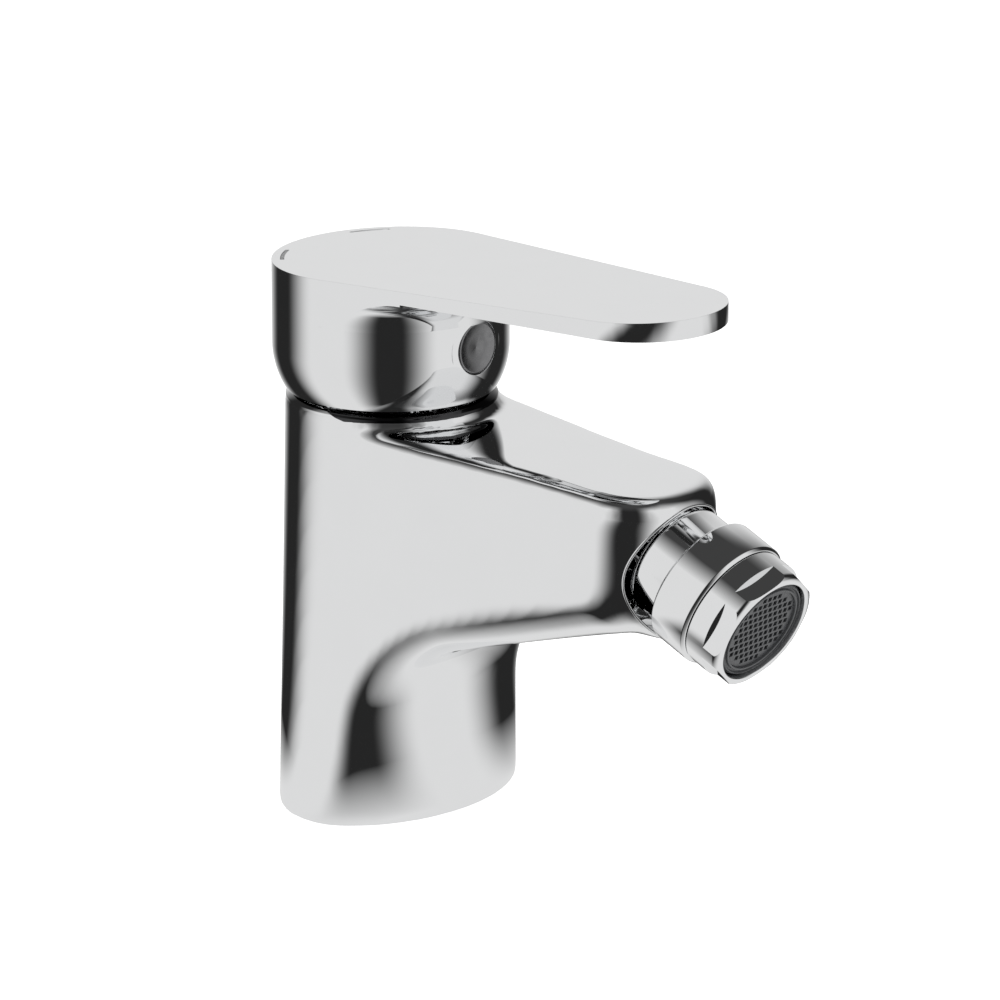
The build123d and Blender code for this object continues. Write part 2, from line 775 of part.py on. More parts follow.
# Nipple of the ball joint: thread, collar, neck and ball, bored through
thread_back = nipple_bore_end + port_seal_width - joint_reach
thread_front = recess_floor + nipple_ring_height - joint_reach
collar_end = thread_front + nipple_collar_height
with BuildPart() as ball_nipple:
    revolve(profile([
        (thread_back, 0),
        (thread_back, nipple_thread),
        (thread_front, nipple_thread),
        (thread_front, nipple_collar),
        (collar_end, nipple_collar),
        (collar_end, nipple_neck),
        (0, nipple_neck),
        (0, 0),
    ], nipple_section), axis=nipple_axis)
    with Locations(ball_centre):
        Sphere(ball_radius)
    revolve(profile(tube(ball_flat, ball_radius + overrun, 0, ball_radius), nipple_section),
            axis=nipple_axis, mode=Mode.SUBTRACT)
    revolve(profile(tube(thread_back - overrun, ball_radius + overrun, 0, nipple_bore), nipple_section),
            axis=nipple_axis, mode=Mode.SUBTRACT)
    with BuildSketch(Plane.YZ.offset(joint_reach + ball_flat)):
        with Locations((0, joint_height)):
            RegularPolygon(nipple_bore + nipple_key / 6, 6, major_radius=False)
    extrude(amount=-nipple_key, mode=Mode.SUBTRACT)
ball_nipple.part.label = "ball_nipple"
export_step(ball_nipple.part, "parts/ball_nipple.step")

with BuildPart() as nipple_ring:
    revolve(profile(tube(recess_floor - joint_reach, thread_front, nipple_thread + touch, nipple_ring_radius),
                    nipple_section), axis=nipple_axis)
    chamfer(nipple_ring.faces().sort_by(Axis.X)[-1].edges().sort_by(SortBy.RADIUS)[-1], foot_edge)
nipple_ring.part.label = "nipple_ring"
export_step(nipple_ring.part, "parts/nipple_ring.step")

with BuildPart() as nipple_seal:
    revolve(profile(tube(nipple_bore_end - joint_reach, thread_back, outlet_port, nipple_thread - touch),
                    nipple_section), axis=nipple_axis)
nipple_seal.part.label = "nipple_seal"
export_step(nipple_seal.part, "parts/nipple_seal.step")

# Ball liner: a belt round the ball, about the nipple's axis
with BuildPart() as ball_liner:
    revolve(profile(tube(liner_back, liner_front, 0, sleeve_cavity), nipple_section), axis=nipple_axis)
    with Locations(ball_centre):
        Sphere(liner_outer, mode=Mode.INTERSECT)
        Sphere(liner_inner, mode=Mode.SUBTRACT)
ball_liner.part.label = "ball_liner"
export_step(ball_liner.part, "parts/ball_liner.step")

# Ball seal: a ring between liner and sleeve, about the sleeve's axis
with BuildPart() as ball_seal:
    revolve(profile(tube(seal_back, seal_front, 0, seal_outer), sleeve_section), axis=sleeve_axis)
    with Locations(ball_centre):
        Sphere(seal_inner, mode=Mode.SUBTRACT)
ball_seal.part.label = "ball_seal"
export_step(ball_seal.part, "parts/ball_seal.step")

# Sleeve and collar of the ball joint
with BuildPart() as swivel_sleeve:
    with BuildSketch(sleeve_section):
        with BuildLine():
            Line((sleeve_back, 0), (sleeve_back, sleeve_radius - sleeve_shoulder))
            ThreePointArc(
                (sleeve_back, sleeve_radius - sleeve_shoulder),
                (sleeve_back + sleeve_shoulder * (1 - math.sqrt(0.5)),
                 sleeve_radius - sleeve_shoulder * (1 - math.sqrt(0.5))),
                (sleeve_back + sleeve_shoulder, sleeve_radius),
            )
            Polyline(
                (sleeve_back + sleeve_shoulder, sleeve_radius),
                (collar_back, sleeve_radius),
                (collar_back, collar_radius - collar_edge),
                (collar_back + collar_edge, collar_radius),
                (collar_front - collar_edge, collar_radius),
                (collar_front, collar_radius - collar_edge),
                (collar_front, 0),
                (sleeve_back, 0),
            )
        make_face()
    revolve(axis=sleeve_axis)
    with Locations(ball_centre):
        Sphere(sleeve_cavity, mode=Mode.SUBTRACT)
    revolve(profile([
        (sleeve_back - overrun, 0),
        (sleeve_back - overrun, sleeve_relief),
        (sleeve_back, sleeve_relief),
        (sleeve_back + sleeve_relief_depth, sleeve_relief_mouth),
        (sleeve_back + sleeve_relief_depth, 0),
    ], sleeve_section), axis=sleeve_axis, mode=Mode.SUBTRACT)
    revolve(profile(tube(0, thread_start, 0, sleeve_cavity), sleeve_section), axis=sleeve_axis,
            mode=Mode.SUBTRACT)
    revolve(profile(tube(thread_start, collar_front + overrun, 0, thread_radius + touch), sleeve_section),
            axis=sleeve_axis, mode=Mode.SUBTRACT)
swivel_sleeve.part.label = "swivel_sleeve"
export_step(swivel_sleeve.part, "parts/swivel_sleeve.step")

seat_mid = (thread_start + seat_end) / 2
with BuildPart() as seat_ring:
    with BuildSketch(sleeve_section):
        with BuildLine():
            ThreePointArc(
                (thread_start, math.sqrt(seal_inner ** 2 - thread_start ** 2)),
                (seat_mid, math.sqrt(seal_inner ** 2 - seat_mid ** 2)),
                (seat_end, math.sqrt(seal_inner ** 2 - seat_end ** 2)),
            )
            Polyline(
                (seat_end, math.sqrt(seal_inner ** 2 - seat_end ** 2)),
                (seat_end, thread_radius),
                (thread_start, thread_radius),
                (thread_start, math.sqrt(seal_inner ** 2 - thread_start ** 2)),
            )
        make_face()
    revolve(axis=sleeve_axis)
seat_ring.part.label = "seat_ring"
export_step(seat_ring.part, "parts/seat_ring.step")

with BuildPart() as aerator_washer:
    revolve(profile(tube(seat_end, washer_end, washer_bore, thread_radius), sleeve_section), axis=sleeve_axis)
aerator_washer.part.label = "aerator_washer"
export_step(aerator_washer.part, "parts/aerator_washer.step")

# Aerator housing: thread, round skirt, six wrench flats and bevelled mouth
with BuildPart() as aerator_housing:
    revolve(profile([
        (washer_end, housing_throat),
        (washer_end, thread_radius),
        (housing_joint, thread_radius),
        (housing_joint, housing_radius),
        (housing_front - housing_bevel, housing_radius),
        (housing_front, housing_radius - housing_bevel),
        (housing_front, housing_bore),
        (housing_step, housing_bore),
        (housing_step, housing_throat),
    ], sleeve_section), axis=sleeve_axis)
    with BuildSketch(across(wrench_back)):
        Circle(housing_radius + overrun)
        RegularPolygon(wrench_across / 2, wrench_sides, major_radius=False, rotation=wrench_turn,
                       mode=Mode.SUBTRACT)
    extrude(amount=housing_front - wrench_back + overrun, mode=Mode.SUBTRACT)
aerator_housing.part.label = "aerator_housing"
export_step(aerator_housing.part, "parts/aerator_housing.step")

# Aerator insert: shell with a stepped rim
insert_shoulder = housing_step + ball_gap
with BuildPart() as aerator_insert:
    revolve(profile([
        (insert_back, insert_body - insert_wall),
        (insert_back, insert_body),
        (insert_shoulder, insert_body),
        (insert_shoulder, insert_rim),
        (insert_front - insert_edge, insert_rim),
        (insert_front, insert_rim - insert_edge),
        (insert_front, screen_radius + touch),
        (plate_seat, screen_radius + touch),
        (plate_seat, insert_body - insert_wall),
    ], sleeve_section), axis=sleeve_axis)
aerator_insert.part.label = "aerator_insert"
export_step(aerator_insert.part, "parts/aerator_insert.step")

# Jet plate: a disc with a ring of holes
with BuildPart() as jet_plate:
    with BuildSketch(across(plate_seat)):
        Circle(screen_radius)
        with PolarLocations(plate_ring_radius, plate_holes):
            Circle(plate_hole_radius, mode=Mode.SUBTRACT)
    extrude(amount=plate_thickness)
jet_plate.part.label = "jet_plate"
export_step(jet_plate.part, "parts/jet_plate.step")

# Grille at the mouth: staggered rows of cells inside a rim
screen_front = insert_front - screen_recess
cell = screen_pitch - screen_rib
cell_reach = screen_radius - screen_rib - cell / 2
cells = [
    ((column + (row % 2) / 2) * screen_pitch, row * screen_pitch)
    for row in range(-(screen_rows // 2), screen_rows // 2 + 1)
    for column in range(-screen_rows, screen_rows)
    if math.hypot((column + (row % 2) / 2) * screen_pitch, row * screen_pitch) < cell_reach
]
with BuildPart() as aerator_screen:
    with BuildSketch(across(screen_front)):
        Circle(screen_radius)
        with Locations(*cells):
            Rectangle(cell, cell, mode=Mode.SUBTRACT)
    extrude(amount=-screen_thickness)
aerator_screen.part.label = "aerator_screen"
export_step(aerator_screen.part, "parts/aerator_screen.step")
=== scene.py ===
# %% [markdown]
# # Bidet mixer
# This is a small tap with one lever over a ceramic cartridge, and an aerator
# that turns on a ball joint. Its solids come packed in a frame and stay as
# they are. The script dresses them: every sub-part gets its material, and
# finer pieces stand in for the polished metal that shows.

import json
import math

import bmesh
import bpy
from mathutils import Matrix, Vector, kdtree


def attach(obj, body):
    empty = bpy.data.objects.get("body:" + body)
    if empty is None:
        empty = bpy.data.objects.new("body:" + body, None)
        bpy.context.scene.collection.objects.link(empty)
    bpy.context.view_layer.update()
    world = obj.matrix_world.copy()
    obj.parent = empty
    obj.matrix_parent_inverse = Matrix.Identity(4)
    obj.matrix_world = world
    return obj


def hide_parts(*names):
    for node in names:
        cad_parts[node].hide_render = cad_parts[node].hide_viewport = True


MM = 0.001

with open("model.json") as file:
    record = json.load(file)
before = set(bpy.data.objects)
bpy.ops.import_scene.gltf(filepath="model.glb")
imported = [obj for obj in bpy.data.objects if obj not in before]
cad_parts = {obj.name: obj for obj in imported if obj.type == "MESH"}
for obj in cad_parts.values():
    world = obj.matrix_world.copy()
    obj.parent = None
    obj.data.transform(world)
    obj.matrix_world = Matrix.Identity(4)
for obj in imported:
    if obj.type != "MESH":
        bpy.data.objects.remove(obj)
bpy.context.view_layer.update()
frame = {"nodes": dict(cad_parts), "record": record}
scene = bpy.context.scene
print("frame:", len(frame["nodes"]), "nodes")

# %% [markdown]
# ## Camera
# A product picture is taken from far away with a long lens, so that upright
# edges stay nearly upright. The camera could be placed by eye. Here its angles
# and its target were fitted to the lever, the aerator and the foot.

# %% Camera
AZIMUTH = math.radians(41.949)
ELEVATION = math.radians(17.052)
DISTANCE = 1500 * MM
FOCAL_PER_WIDTH = 7.71
SENSOR_WIDTH = 36
CLIP_START = 10 * MM
TARGET = Vector((15.68, 14.09, 58.82)) * MM

back = Vector((
    math.sin(AZIMUTH) * math.cos(ELEVATION),
    -math.cos(AZIMUTH) * math.cos(ELEVATION),
    math.sin(ELEVATION),
))
camera_data = bpy.data.cameras.new("camera")
camera_data.sensor_width = SENSOR_WIDTH
camera_data.lens = FOCAL_PER_WIDTH * SENSOR_WIDTH
camera_data.clip_start = CLIP_START
camera = bpy.data.objects.new("camera", camera_data)
camera.location = TARGET + DISTANCE * back
camera.rotation_euler = back.to_track_quat("Z", "Y").to_euler()
scene.collection.objects.link(camera)
scene.camera = camera
print("camera:", round(camera_data.lens), "mm lens")

# %% [markdown]
# ## Nodes
# Room, floor and materials are all node trees, so a few helpers come first.
# They take a socket or a plain value for each input and return the output, and
# a tree can be read like a sum.

# %% Node helpers


def add_node(tree, kind, **settings):
    """New node with its settings made."""
    node = tree.nodes.new(kind)
    for key, value in settings.items():
        setattr(node, key, value)
    return node


def feed(tree, socket, value):
    """Give a socket a plain value or a link."""
    if isinstance(value, (int, float, tuple)):
        socket.default_value = value
    else:
        tree.links.new(value, socket)


def math_node(tree, operation, *values):
    """Output of a math node on sockets or plain numbers."""
    node = add_node(tree, "ShaderNodeMath", operation=operation)
    for socket, value in zip(node.inputs, values):
        feed(tree, socket, value)
    return node.outputs[0]


def spread(tree, value, start, stop):
    """Output that runs from 0 to 1 between two values."""
    node = add_node(tree, "ShaderNodeMapRange")
    feed(tree, node.inputs["Value"], value)
    feed(tree, node.inputs["From Min"], start)
    feed(tree, node.inputs["From Max"], stop)
    return node.outputs["Result"]


def grey_ramp(tree, value, stops, interpolation="LINEAR"):
    """Output of a grey ramp through its stops."""
    ramp = add_node(tree, "ShaderNodeValToRGB")
    ramp.color_ramp.interpolation = interpolation
    elements = ramp.color_ramp.elements
    for place, grey in stops[2:]:
        elements.new(place)
    for element, (place, grey) in zip(elements, stops):
        element.position = place
        element.color = (grey, grey, grey, 1)
    feed(tree, ramp.inputs[0], value)
    return ramp.outputs["Color"]


def mix_colors(tree, factor, first, second, blend="MIX"):
    """Output of a colour mix of two sockets or colours."""
    mix = add_node(tree, "ShaderNodeMix", data_type="RGBA", blend_type=blend)
    for socket, value in ((mix.inputs[0], factor), (mix.inputs[6], first), (mix.inputs[7], second)):
        feed(tree, socket, value)
    return mix.outputs[2]


def new_group(name, inputs, outputs):
    """Empty node group with named sockets, with what comes in and what goes out."""
    group = bpy.data.node_groups.new(name, "ShaderNodeTree")
    for side, sockets in (("INPUT", inputs), ("OUTPUT", outputs)):
        for label, kind in sockets.items():
            group.interface.new_socket(label, in_out=side, socket_type="NodeSocket" + kind)
    return group, add_node(group, "NodeGroupInput").outputs, add_node(group, "NodeGroupOutput").inputs


# %% [markdown]
# ## Room
# Chrome shows nothing but its surroundings. In a studio these are a bright
# room with dark flags, which leave the dark bands on the metal. Flags could be
# modelled, but each would show in many places. Here the room is a grey ramp
# round the horizon: 0.5 is the camera's side, and 0 and 1 lie behind the
# mixer. One group turns any direction into that place.

# %% Bearing
HALF_TURN_MORE = 1.5

bearing, given, found = new_group("bearing", {"Vector": "Vector"}, {"Around": "Float"})
split = add_node(bearing, "ShaderNodeSeparateXYZ")
feed(bearing, split.inputs[0], given["Vector"])
azimuth = math_node(bearing, "ARCTAN2", split.outputs["Y"], split.outputs["X"])
offset = math_node(bearing, "SUBTRACT", azimuth, math.atan2(back.y, back.x))
turns = math_node(bearing, "DIVIDE", offset, 2 * math.pi)
feed(bearing, found["Around"], math_node(bearing, "FRACT", math_node(bearing, "ADD", turns, HALF_TURN_MORE)))
print("bearing:", len(bearing.nodes), "nodes")

# %% [markdown]
# The room has pale walls and three equal dark flags: one on the camera's side
# and one to each side behind the mixer. The first leaves the dark band down
# the front of each round piece, and the others draw its edges. A dark ceiling
# draws the upper edges. The eye sees plain white instead.

# %% Flags, walls and ceiling
WALL_GREY = 0.75
FLAG_GREY = 0.02
FLAG_PLACES = (0.15, 0.50, 0.85)
FLAG_WIDTH = 0.06
FLAG_SOFTNESS = 0.10
CEILING_START = 0.6
CEILING_FULL = 0.9
CEILING_GREY = (0.05, 0.05, 0.05, 1)
WHITE = (1, 1, 1, 1)


def flag_stops():
    """Stops of a grey ramp round the horizon: a pale wall with dark, soft-edged flags."""
    stops = [(0.0, WALL_GREY)]
    for place in FLAG_PLACES:
        near, far = place - FLAG_WIDTH / 2, place + FLAG_WIDTH / 2
        stops += [(near - FLAG_SOFTNESS, WALL_GREY), (near, FLAG_GREY)]
        stops += [(far, FLAG_GREY), (far + FLAG_SOFTNESS, WALL_GREY)]
    return stops + [(1.0, WALL_GREY)]


scene.view_settings.view_transform = "Standard"
world = bpy.data.worlds.new("studio")
scene.world = world
world.use_nodes = True
tree = world.node_tree
tree.nodes.clear()
direction = add_node(tree, "ShaderNodeTexCoord").outputs["Generated"]
around = add_node(tree, "ShaderNodeGroup", node_tree=bearing)
feed(tree, around.inputs["Vector"], direction)
room = grey_ramp(tree, around.outputs["Around"], flag_stops(), "EASE")
rise = add_node(tree, "ShaderNodeSeparateXYZ")
feed(tree, rise.inputs[0], direction)
ceiling = spread(tree, rise.outputs["Z"], CEILING_START, CEILING_FULL)
surround = mix_colors(tree, ceiling, room, CEILING_GREY)
eye = add_node(tree, "ShaderNodeLightPath")
background = add_node(tree, "ShaderNodeBackground")
feed(tree, background.inputs["Color"], mix_colors(tree, eye.outputs["Is Camera Ray"], surround, WHITE))
output = add_node(tree, "ShaderNodeOutputWorld")
feed(tree, output.inputs["Surface"], background.outputs[0])
print("room:", len(FLAG_PLACES), "flags")

# %% [markdown]
# ## Floor
# The floor is plain, pale and matte. Dark flags lie on it below those of the
# room, from a little way off, and only mirrored rays see them. They go by
# their own place on the floor, so they stay put in every view.
# It glows a little, so that it looks as white as the backdrop and shows no edge.

# %% Floor
FLAGS_START = 25 * MM
FLAGS_FULL = 60 * MM
FLOOR_HALF_WIDTH = 3.0
FLOOR_CELLS = 8
FLOOR_WHITE = (0.9, 0.9, 0.9, 1)
FLOOR_GLOW = 0.75

floor_material = bpy.data.materials.new("pale_floor")
floor_material.use_nodes = True
tree = floor_material.node_tree
floor_shader = tree.nodes["Principled BSDF"]
floor_shader.inputs["Base Color"].default_value = FLOOR_WHITE
floor_shader.inputs["Roughness"].default_value = 1.0
floor_shader.inputs["Specular IOR Level"].default_value = 0.0
floor_shader.inputs["Emission Color"].default_value = WHITE
floor_shader.inputs["Emission Strength"].default_value = FLOOR_GLOW
ray = add_node(tree, "ShaderNodeLightPath")
place = add_node(tree, "ShaderNodeTexCoord").outputs["Object"]
around = add_node(tree, "ShaderNodeGroup", node_tree=bearing)
feed(tree, around.inputs["Vector"], place)
distance = add_node(tree, "ShaderNodeVectorMath", operation="LENGTH")
feed(tree, distance.inputs[0], place)
laid = spread(tree, distance.outputs["Value"], FLAGS_START, FLAGS_FULL)
flags = grey_ramp(tree, around.outputs["Around"], flag_stops(), "EASE")
mirrored = mix_colors(tree, laid, (WALL_GREY, WALL_GREY, WALL_GREY, 1), flags)
glow = add_node(tree, "ShaderNodeEmission")
feed(tree, glow.inputs["Color"], mirrored)
choice = add_node(tree, "ShaderNodeMixShader")
feed(tree, choice.inputs["Fac"], ray.outputs["Is Glossy Ray"])
feed(tree, choice.inputs[1], floor_shader.outputs["BSDF"])
feed(tree, choice.inputs[2], glow.outputs["Emission"])
feed(tree, tree.nodes["Material Output"].inputs["Surface"], choice.outputs["Shader"])

floor_mesh = bmesh.new()
bmesh.ops.create_grid(floor_mesh, x_segments=FLOOR_CELLS, y_segments=FLOOR_CELLS, size=FLOOR_HALF_WIDTH)
floor_data = bpy.data.meshes.new("floor")
floor_mesh.to_mesh(floor_data)
floor_mesh.free()
floor_data.materials.append(floor_material)
floor = bpy.data.objects.new("floor", floor_data)
scene.collection.objects.link(floor)
print("floor:", len(floor_data.polygons), "faces")

# %% [markdown]
# ## Lights
# Plastic and rubber have no mirror to show the room with, so two large soft
# lights model them. The chrome doesn't mirror the lights, because a white
# square in it would give them away.

# %% Soft lights


def soft_light(name, place, width, power):
    """Large square light turned to the mixer."""
    data = bpy.data.lights.new(name, "AREA")
    data.shape = "RECTANGLE"
    data.size = width
    data.size_y = width
    data.energy = power
    light = bpy.data.objects.new(name, data)
    light.location = place
    light.rotation_euler = (place - TARGET).to_track_quat("Z", "Y").to_euler()
    light.visible_glossy = False
    scene.collection.objects.link(light)
    print(name, "light:", power, "W")


soft_light("key", Vector((-0.6, -1.0, 1.2)), width=1.0, power=12)
soft_light("fill", Vector((1.2, 0.2, 0.8)), width=0.9, power=6)

# %% [markdown]
# ## Materials
# No worked surface is even: a wheel leaves some places smoother, and moulded or
# turned ones have a fine grain. Scanned pictures could give this, but noise in
# object coordinates needs no picture and never repeats. One group makes it for
# all materials.

# %% Worked surface
SMOOTHNESS_DETAIL = 4
SMOOTHNESS_FROM = (0.3, 0.7)
TINT_SCALE = 120

worked, given, found = new_group(
    "worked_surface",
    {"Scale": "Float", "Smoothest": "Float", "Roughest": "Float", "Grain Scale": "Float"},
    {"Roughness": "Float", "Tint": "Float", "Grain": "Float"},
)
place_on_piece = add_node(worked, "ShaderNodeTexCoord").outputs["Object"]


def noise(scale, **settings):
    """Output of a noise on the piece."""
    node = add_node(worked, "ShaderNodeTexNoise")
    feed(worked, node.inputs["Vector"], place_on_piece)
    feed(worked, node.inputs["Scale"], scale)
    for label, value in settings.items():
        node.inputs[label].default_value = value
    return node.outputs["Fac"]


roughness = add_node(worked, "ShaderNodeMapRange")
feed(worked, roughness.inputs["Value"], noise(given["Scale"], Detail=SMOOTHNESS_DETAIL))
feed(worked, roughness.inputs["From Min"], SMOOTHNESS_FROM[0])
feed(worked, roughness.inputs["From Max"], SMOOTHNESS_FROM[1])
feed(worked, roughness.inputs["To Min"], given["Smoothest"])
feed(worked, roughness.inputs["To Max"], given["Roughest"])
feed(worked, found["Roughness"], roughness.outputs["Result"])
feed(worked, found["Tint"], noise(TINT_SCALE))
feed(worked, found["Grain"], noise(given["Grain Scale"]))
print("worked surface:", len(worked.nodes), "nodes")

# %% [markdown]
# Each material then only has its colour, how its surface was worked, and a
# grain where it was moulded or turned. The chrome is almost a mirror. The plug
# and the index arcs are grey, and the aerator's plastic is nearly black.

# %% Materials
POLISHED = (260, 0.015, 0.05)
SATIN = (900, 0.22, 0.38)
DULL = (1400, 0.45, 0.65)
GRAIN_STRENGTH = 0.4


def make_material(name, color, metallic, surface, tint, grain_scale=0, grain_depth=0.0):
    """Principled material with an uneven surface, a slight tint and an optional grain."""
    material = bpy.data.materials.new(name)
    material.use_nodes = True
    tree = material.node_tree
    shader = tree.nodes["Principled BSDF"]
    shader.inputs["Metallic"].default_value = metallic
    group = add_node(tree, "ShaderNodeGroup", node_tree=worked)
    for label, value in zip(("Scale", "Smoothest", "Roughest"), surface):
        group.inputs[label].default_value = value
    feed(tree, shader.inputs["Roughness"], group.outputs["Roughness"])
    darker = (*[part * (1 - tint) for part in color], 1)
    lighter = (*[min(1, part * (1 + tint)) for part in color], 1)
    feed(tree, shader.inputs["Base Color"], mix_colors(tree, group.outputs["Tint"], darker, lighter))
    if grain_scale:
        group.inputs["Grain Scale"].default_value = grain_scale
        bump = add_node(tree, "ShaderNodeBump")
        bump.inputs["Strength"].default_value = GRAIN_STRENGTH
        bump.inputs["Distance"].default_value = grain_depth
        feed(tree, bump.inputs["Height"], group.outputs["Grain"])
        feed(tree, shader.inputs["Normal"], bump.outputs["Normal"])
    return material


chrome = make_material("chrome_polished", (0.93, 0.935, 0.94), 1.0, POLISHED, 0.01)
brass = make_material("brass_machined", (0.80, 0.62, 0.32), 1.0, SATIN, 0.05, 3000, 0.02 * MM)
steel = make_material("steel_turned", (0.56, 0.57, 0.58), 1.0, SATIN, 0.04, 4000, 0.02 * MM)
rubber = make_material("rubber_black", (0.025, 0.025, 0.026), 0.0, DULL, 0.1, 5000, 0.03 * MM)
ceramic = make_material("ceramic_lapped", (0.86, 0.84, 0.78), 0.0, POLISHED, 0.02)
white_plastic = make_material("plastic_white", (0.80, 0.80, 0.78), 0.0, SATIN, 0.02, 4000, 0.01 * MM)
plug_plastic = make_material("plug_grey", (0.26, 0.26, 0.265), 1.0, SATIN, 0.03)
grey_enamel = make_material("enamel_grey", (0.30, 0.305, 0.31), 0.0, SATIN, 0.05)
grey_plastic = make_material("plastic_dark_grey", (0.055, 0.057, 0.06), 0.0, SATIN, 0.1, 4000, 0.02 * MM)

finishes = {
    "chrome": chrome, "brass": brass, "steel": steel, "rubber": rubber, "ceramic": ceramic,
    "white_plastic": white_plastic, "plug_plastic": plug_plastic, "grey_enamel": grey_enamel,
    "grey_plastic": grey_plastic,
}
print("materials:", len(finishes))

# %% [markdown]
# ## Solids
# Each solid of the frame gets the material of its slot in the record. Its
# triangles are shaded smooth, with a sharp line wherever two faces meet at a
# real edge, so that turned pieces look round and corners stay crisp.

# %% Solids
REAL_EDGE = math.radians(28)

for subpart in frame["record"]["subparts"]:
    node = frame["nodes"][subpart["node"]]
    node.data.materials.clear()
    node.data.materials.append(finishes[subpart["material_slot"]])
    node.data.shade_smooth()
    node.data.set_sharp_from_angle(angle=REAL_EDGE)

# %% [markdown]
# ## Pieces that stand in
# A finer piece takes the place of a solid in the picture and rides on the same
# body, so that it moves with it. Most are made as meshes by bmesh operators,
# and some are cut from each other with an exact boolean.

# %% Helpers for pieces
MERGE = 0.001 * MM


def add_piece(mesh, material, node):
    """Object for a mesh that stands for a CAD node and rides on that node's body."""
    piece = bpy.data.objects.new(mesh.name, mesh)
    piece.data.materials.clear()
    piece.data.materials.append(material)
    scene.collection.objects.link(piece)
    body = next(key for key, names in frame["record"]["behaviour"]["bodies"].items() if node in names)
    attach(piece, body)
    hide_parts(node)
    print(piece.name, "for", node + ":", len(mesh.polygons), "faces")


def to_mesh(shape, name):
    """Mesh of a bmesh, which is freed."""
    data = bpy.data.meshes.new(name)
    shape.to_mesh(data)
    shape.free()
    return data


def solid_copy(name):
    """Bmesh copy of a CAD node, with its loose triangles merged."""
    solid = bmesh.new()
    solid.from_mesh(frame["nodes"][name].data)
    bmesh.ops.remove_doubles(solid, verts=solid.verts, dist=MERGE)
    return solid


def finished(block, name):
    """Mesh of an object with its modifiers, whose object is removed."""
    result = bpy.data.meshes.new_from_object(block.evaluated_get(bpy.context.evaluated_depsgraph_get()))
    bpy.data.objects.remove(block)
    result.name = name
    return result


def combine(first, second, operation, name):
    """Mesh of two closed meshes combined by an exact boolean."""
    block, tool = (bpy.data.objects.new(mesh.name, mesh) for mesh in (first, second))
    scene.collection.objects.link(block)
    scene.collection.objects.link(tool)
    cut = block.modifiers.new("cut", "BOOLEAN")
    cut.operation = operation
    cut.object = tool
    cut.solver = "EXACT"
    result = finished(block, name)
    bpy.data.objects.remove(tool)
    return result


def raise_faces(shape, height):
    """Make a flat shape a block of this height."""
    lifted = bmesh.ops.extrude_face_region(shape, geom=shape.faces)["geom"]
    verts = [item for item in lifted if isinstance(item, bmesh.types.BMVert)]
    bmesh.ops.translate(shape, verts=verts, vec=Vector((0, 0, height)))
    bmesh.ops.recalc_face_normals(shape, faces=shape.faces)


# %% [markdown]
# ## Body
# The body is cast, ground and polished, so its corners are soft and its skin
# has no facets. A subdivided mesh could do this, but would need a cage drawn
# by hand. Here a copy of the solid is meshed anew in even squares, and these
# are smoothed: fully between the real edges, and only a little on them.

# %% Skin of a casting


def real_edge_points(mesh, spacing, blended):
    """Points along a mesh's sharp edges, without the edges that polishing blends."""
    points = []
    for edge in mesh.edges:
        if len(edge.link_faces) != 2 or edge.calc_face_angle() < REAL_EDGE:
            continue
        start, end = (vert.co for vert in edge.verts)
        if blended((start + end) / 2):
            continue
        count = max(1, round((end - start).length / spacing))
        points += [start.lerp(end, step / count) for step in range(count + 1)]
    return points


def cast_skin(name, filler, square, reach, rounds, edge_rounds, blended):
    """Even, smoothed copy of a CAD node that keeps its real edges, with a filler mesh in its mouth."""
    solid = solid_copy(name)
    edges = real_edge_points(solid, square, blended)
    tree = kdtree.KDTree(len(edges))
    for number, point in enumerate(edges):
        tree.insert(point, number)
    tree.balance()
    solid.from_mesh(filler)
    block = bpy.data.objects.new(name, to_mesh(solid, name + "_solid"))
    scene.collection.objects.link(block)
    remesh = block.modifiers.new("even", "REMESH")
    remesh.mode = "VOXEL"
    remesh.voxel_size = square
    even = finished(block, name + "_even")
    skin = bmesh.new()
    skin.from_mesh(even)
    open_skin = [vert for vert in skin.verts if tree.find(vert.co)[2] > reach]
    for verts, times in ((open_skin, rounds), (skin.verts, edge_rounds)):
        for _ in range(times):
            bmesh.ops.smooth_vert(skin, verts=verts, factor=0.5, use_axis_x=True, use_axis_y=True,
                                  use_axis_z=True)
    for face in skin.faces:
        face.smooth = True
    print(name, "skin:", len(open_skin), "of", len(skin.verts), "points smoothed")
    return to_mesh(skin, name + "_polished")


# %% [markdown]
# The polish runs over the column's corners. The foot, the neck, the recess of
# the ball joint and the chamber of the cartridge are machined and keep their
# edges. The limits are in millimetres.

# %% Blended edges
FOOT_RIM = 2
NECK_RIM = 80.5
CHAMBER_REACH = 18.8
RECESS_HEIGHT = 60
RECESS_BACK = 60
RECESS_REACH = 13.6
NECK_FOOT = 76.5
NECK_FRONT = 3
NECK_REACH = 22.4


def body_blend(point):
    """True where the body's outside has no real edge."""
    x, y, z = point / MM
    around = math.hypot(x, y)
    in_recess = x > RECESS_BACK and math.hypot(y, z - RECESS_HEIGHT) < RECESS_REACH
    at_neck = x > NECK_FRONT and z > NECK_FOOT and around < NECK_REACH
    return FOOT_RIM < z < NECK_RIM and around > CHAMBER_REACH and not in_recess and not at_neck


# %% [markdown]
# The recess has a crisp mouth in a round nose. Smoothing would wear the mouth
# away, so the skin is made with the recess filled, and the recess is bored
# afterwards, as on the real casting. The filler is the nose's own round form
# inside a cylinder.

